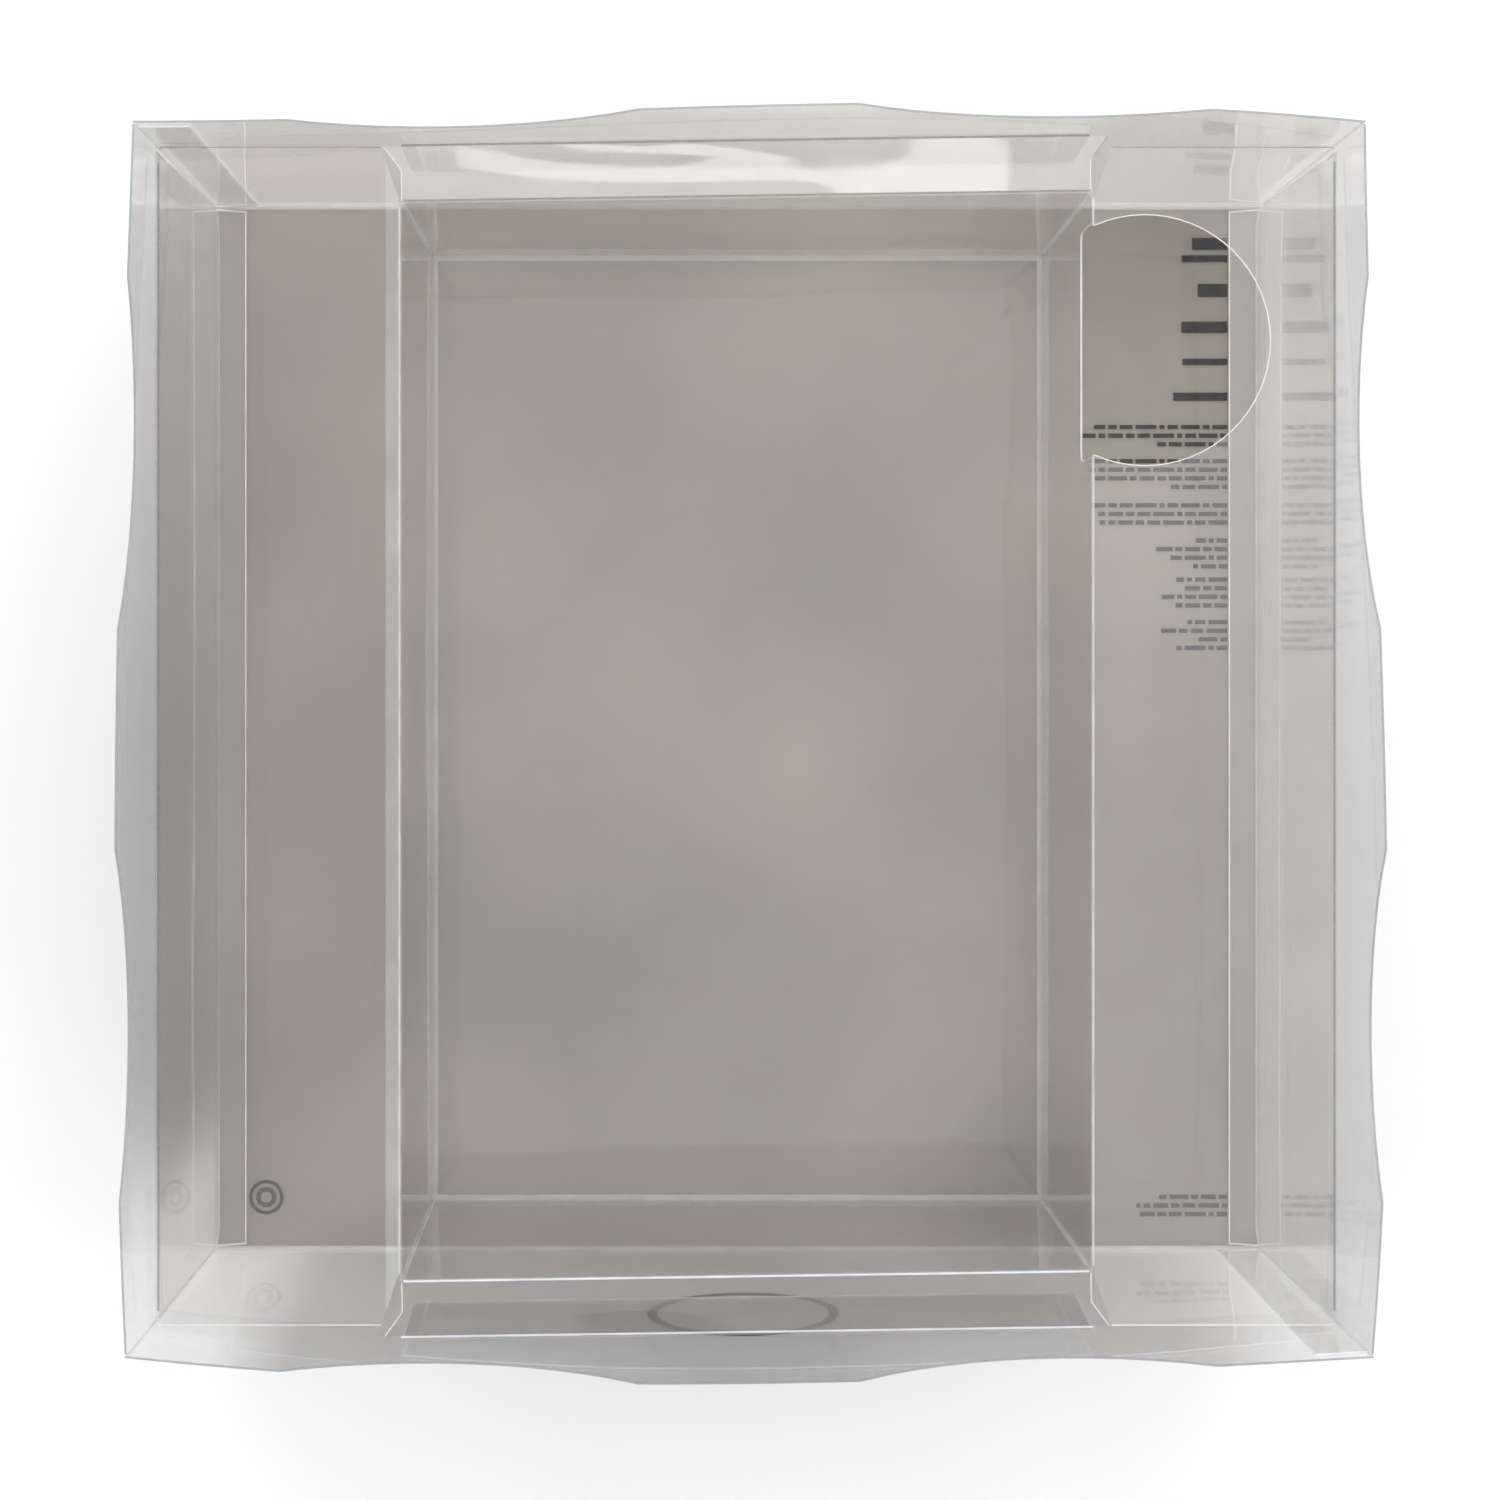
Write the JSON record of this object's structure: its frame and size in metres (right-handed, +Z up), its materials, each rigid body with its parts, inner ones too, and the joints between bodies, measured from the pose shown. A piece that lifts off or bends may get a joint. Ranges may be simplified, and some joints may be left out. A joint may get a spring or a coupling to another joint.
{
  "type": "shoe box",
  "caption": "Open-topped clear shoe box folded from PET sheet, with a scalloped rim and a folded lift-out insert whose deep pocket holds a pair of shoes.",
  "frame": {"origin": "centre of the tray's underside", "axes": "+Z up, +Y towards the back wall, +X towards the side with the finger hole"},
  "size_m": [0.3832, 0.386, 0.154],
  "materials": {
    "tray_pet": "clear PET sheet with a faint grey cast, glossy on both faces",
    "insert_pet": "clear PET sheet with a faint grey cast, glossy, bright along its cut edges"
  },
  "bodies": {
    "tray": {"bottom_panel": "tray_pet", "wall_front": "tray_pet", "wall_back": "tray_pet", "wall_left": "tray_pet", "wall_right": "tray_pet", "glue_flap_left": "tray_pet", "glue_flap_right": "tray_pet", "seam_tab_back_left": "tray_pet", "seam_tab_front_right": "tray_pet"},
    "insert": {"pocket_floor": "insert_pet", "pocket_wall_front": "insert_pet", "pocket_wall_back": "insert_pet", "pocket_wall_left": "insert_pet", "pocket_wall_right": "insert_pet"},
    "wing_left": {"wing_left": "insert_pet"},
    "leg_left": {"leg_left": "insert_pet"},
    "wing_right": {"wing_right": "insert_pet"},
    "leg_right": {"leg_right": "insert_pet"},
    "ledge_front": {"ledge_front": "insert_pet"},
    "tuck_flap_front": {"tuck_flap_front": "insert_pet"},
    "ledge_back": {"ledge_back": "insert_pet"},
    "tuck_flap_back": {"tuck_flap_back": "insert_pet"}
  },
  "joints": [
    {"name": "insert_lift", "type": "slide", "parent": "tray", "child": "insert", "axis": [0, 0, 1], "range_m": [0, 0.16]},
    {"name": "wing_left_fold", "type": "hinge", "parent": "insert", "child": "wing_left", "pos_m": [-0.10825, 0, 0.1217], "axis": [0, 1, 0], "range_deg": [0, 60]},
    {"name": "leg_left_fold", "type": "hinge", "parent": "wing_left", "child": "leg_left", "pos_m": [-0.18345, 0, 0.1217], "axis": [0, 1, 0], "range_deg": [-60, 0]},
    {"name": "wing_right_fold", "type": "hinge", "parent": "insert", "child": "wing_right", "pos_m": [0.10825, 0, 0.1217], "axis": [0, -1, 0], "range_deg": [0, 60]},
    {"name": "leg_right_fold", "type": "hinge", "parent": "wing_right", "child": "leg_right", "pos_m": [0.18345, 0, 0.1217], "axis": [0, -1, 0], "range_deg": [-60, 0]},
    {"name": "ledge_front_fold", "type": "hinge", "parent": "insert", "child": "ledge_front", "pos_m": [0, -0.16855, 0.1217], "axis": [-0.9999, -0.0148, 0], "range_deg": [0, 60]},
    {"name": "tuck_flap_front_fold", "type": "hinge", "parent": "ledge_front", "child": "tuck_flap_front", "pos_m": [0.00026, -0.18585, 0.1217], "axis": [-0.9999, -0.0148, 0], "range_deg": [-60, 0]},
    {"name": "ledge_back_fold", "type": "hinge", "parent": "insert", "child": "ledge_back", "pos_m": [0, 0.16855, 0.1217], "axis": [0.9999, 0.0148, 0], "range_deg": [0, 60]},
    {"name": "tuck_flap_back_fold", "type": "hinge", "parent": "ledge_back", "child": "tuck_flap_back", "pos_m": [-0.00026, 0.18585, 0.1217], "axis": [0.9999, 0.0148, 0], "range_deg": [-60, 0]}
  ],
  "couplings": [
    {"joint": "leg_left_fold", "follows": "wing_left_fold", "ratio": -1},
    {"joint": "leg_right_fold", "follows": "wing_right_fold", "ratio": -1},
    {"joint": "tuck_flap_front_fold", "follows": "ledge_front_fold", "ratio": -1},
    {"joint": "tuck_flap_back_fold", "follows": "ledge_back_fold", "ratio": -1}
  ]
}
